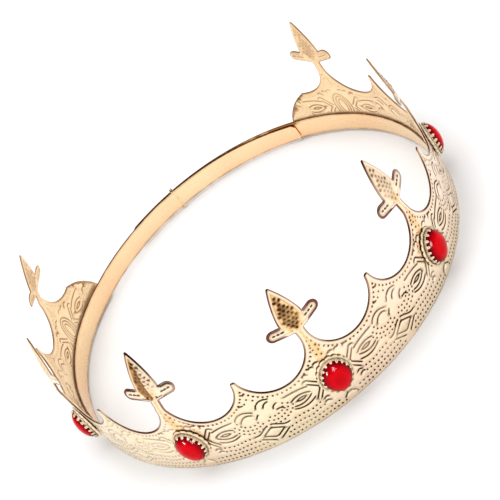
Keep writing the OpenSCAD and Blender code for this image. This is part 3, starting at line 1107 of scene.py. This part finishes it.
def strap_gold():
    """Smooth rolled strip with fine polishing marks along it, stained edges, and painted shade along the
    right strap's top.
    """
    gold = Finish("strap_gilt")
    lines = gold.noise(30, 3, (1, 1, 70))
    tone = gold.mix(gold.patches(16, 3, 0.35, 0.65), COPPER, APRICOT)
    stain_and_shade = gold.product(gold.attribute("edge"), gold.patches(140, 4, 0.35, 0.6, 0.35, 1.0))
    tone = gold.mix(stain_and_shade, tone, RUST)
    rough = gold.total(gold.spread(lines, 0.3, 0.7, 0.16, 0.27), gold.patches(700, 4, 0.3, 0.7, 0.0, 0.06))
    gold.set(Base_Color=tone, Metallic=1.0, Roughness=rough, Normal=gold.bump(lines, 0.00004, 0.6))
    return gold.material


def wire_gold():
    gold = Finish("wire_gilt")
    tone = gold.mix(gold.patches(400, 3, 0.35, 0.7), CHAMPAGNE, HONEY)
    gold.set(Base_Color=tone, Metallic=1.0, Roughness=gold.patches(1600, 3, 0.3, 0.7, 0.15, 0.3),
             Normal=gold.bump(gold.noise(1200, 3), 0.00003, 0.6))
    return gold.material


def red_stone():
    """Glossy red resin: a brighter middle painted for light through it, and painted shade at its girdle and
    top.
    """
    red = Finish("red_cabochon")
    dome = red.attribute("dome")
    # Painted light through the stone: dark at the girdle, bright in the middle, darker again at the top
    tone = red.mix(red.spread(dome, 0.4, 0.85), GARNET, RUBY)
    tone = red.mix(red.spread(dome, 0.88, 1.0, 0.0, 0.55), tone, CARMINE)
    tone = red.mix(red.patches(180, 3, 0.45, 0.75, 0.0, 0.3), tone, SCARLET)
    red.set(Base_Color=tone, Roughness=red.patches(700, 4, 0.3, 0.7, 0.1, 0.15), IOR=1.5,
            Specular_IOR_Level=0.05, Normal=red.bump(red.noise(120, 2), 0.00004, 0.15))
    return red.material


def floor_white():
    floor = Finish("floor_card")
    tone = floor.mix(floor.patches(9, 3, 0.4, 0.6), CARD_SHADE, CARD_WHITE)
    floor.set(Base_Color=tone, Roughness=0.7, Specular_IOR_Level=0.0)
    return floor.material


# ---------------- studio

# The camera circles the frame's origin, and is set aside and up in its picture plane before its roll
CAMERA_AZIMUTH = -0.55
CAMERA_ELEVATION = 34.67
CAMERA_ROLL = 39.12
CAMERA_DISTANCE = 655.0
CAMERA_ASIDE = 5.4
CAMERA_UP = 16.0
LENS = 107.6
TENT_WHITE = (1.0, 1.0, 1.0, 1)
TENT_STRENGTH = 1.0
ROOM_TINT = (1.0, 0.80, 0.64, 1)
ROOM_STRENGTH = 0.14

# The floor, in metres
FLOOR_REACH = 4.0
FLOOR_DROP = 0.0003


def make_camera():
    """The camera looks at the ring from the front and above, and is rolled to one side."""
    azimuth, elevation = math.radians(CAMERA_AZIMUTH), math.radians(CAMERA_ELEVATION)
    back = Vector((math.sin(azimuth) * math.cos(elevation), -math.cos(azimuth) * math.cos(elevation),
                   math.sin(elevation)))
    right = Vector((math.cos(azimuth), math.sin(azimuth), 0))
    up = back.cross(right)
    place = back * CAMERA_DISTANCE + right * CAMERA_ASIDE + up * CAMERA_UP
    upright = Matrix((right, up, back)).transposed()
    turned = upright @ Matrix.Rotation(-math.radians(CAMERA_ROLL), 3, "Z")
    data = bpy.data.cameras.new("camera")
    data.lens = LENS
    camera = bpy.data.objects.new("camera", data)
    camera.matrix_world = Matrix.LocRotScale(place * MM, turned.to_quaternion(), None)
    bpy.context.scene.collection.objects.link(camera)
    bpy.context.scene.camera = camera


def softbox(name, place, target, size, power, only=()):
    """A square area light at place, facing target, in metres. It lights every piece, or those in only."""
    data = bpy.data.lights.new(name, "AREA")
    data.size = size
    data.energy = power
    lamp = bpy.data.objects.new(name, data)
    lamp.location = place
    lamp.rotation_euler = (Vector(target) - Vector(place)).to_track_quat("-Z", "Y").to_euler()
    bpy.context.scene.collection.objects.link(lamp)
    if only:
        lit = bpy.data.collections.new(name + "_lights")
        for piece in only:
            lit.objects.link(piece)
        lamp.light_linking.receiver_collection = lit
    return lamp


def make_world():
    """A pale tent that gives even light, and a dim room that the metal reflects in its place."""
    world = bpy.data.worlds.new("studio")
    world.use_nodes = True
    nodes, links = world.node_tree.nodes, world.node_tree.links
    tent, room = nodes["Background"], nodes.new("ShaderNodeBackground")
    for node, tint, strength in ((tent, TENT_WHITE, TENT_STRENGTH), (room, ROOM_TINT, ROOM_STRENGTH)):
        node.inputs["Color"].default_value = tint
        node.inputs["Strength"].default_value = strength
    chosen, path = nodes.new("ShaderNodeMixShader"), nodes.new("ShaderNodeLightPath")
    links.new(path.outputs["Is Glossy Ray"], chosen.inputs[0])
    links.new(tent.outputs[0], chosen.inputs[1])
    links.new(room.outputs[0], chosen.inputs[2])
    links.new(chosen.outputs[0], nodes["World Output"].inputs["Surface"])
    bpy.context.scene.world = world


def make_floor():
    """A pale square just under the crown."""
    mesh = bpy.data.meshes.new("floor")
    corners = [(-1, -1), (1, -1), (1, 1), (-1, 1)]
    mesh.from_pydata([(FLOOR_REACH * x, FLOOR_REACH * y, 0) for x, y in corners], [], [(0, 1, 2, 3)])
    mesh.materials.append(floor_white())
    floor = bpy.data.objects.new("floor", mesh)
    floor.location.z = -FLOOR_DROP
    bpy.context.scene.collection.objects.link(floor)


def make_studio(bezels, stones):
    """Broad soft light over a pale floor, and small softboxes that shine on the settings only."""
    make_floor()
    make_world()
    softbox("softbox_above", (0.0, 0.0, 0.85), (0, 0, 0), 0.7, 2.5).visible_glossy = False
    softbox("softbox_side", (-0.5, -0.3, 0.8), (0, 0, 0), 0.45, 0.8)
    softbox("softbox_settings", (-0.3, -0.85, 0.4), (0, 0, 0), 0.4, 2.5, bezels)
    softbox("softbox_front", (0.16, -0.9, 0.30), (0, 0, 0), 0.36, 38.0, stones).visible_diffuse = False
    softbox("softbox_left", (-0.7, -0.58, 0.26), (0, 0, 0.02), 0.26, 38.0, stones).visible_diffuse = False
    bpy.context.scene.view_settings.view_transform = "Standard"


def make_crown():
    """Every piece of the crown. It returns the bezels and the stones, which have their own lights."""
    gilt, setting, strip, stone = plate_gold(), bezel_gold(), strap_gold(), red_stone()
    make_plate(gilt)
    bezels = [make_bezel(i, setting) for i in range(len(LEANS))]
    stones = [make_gem(i, stone) for i in range(len(LEANS))]
    left_span, right_span = (360 - ROOT_A, LEFT_END_A), (ROOT_A, RIGHT_END_A)
    strap("strap_left_strip", "left_strap", "left_band", left_span, strip, left_strap_r, taper=TAPER)
    strap("strap_right_strip", "right_strap", "right_band", right_span, strip, right_strap_r, top_stain_and_shade=stain_and_shade_by_left_end)
    make_keeper(wire_gold())
    return bezels, stones


make_studio(*make_crown())
make_camera()
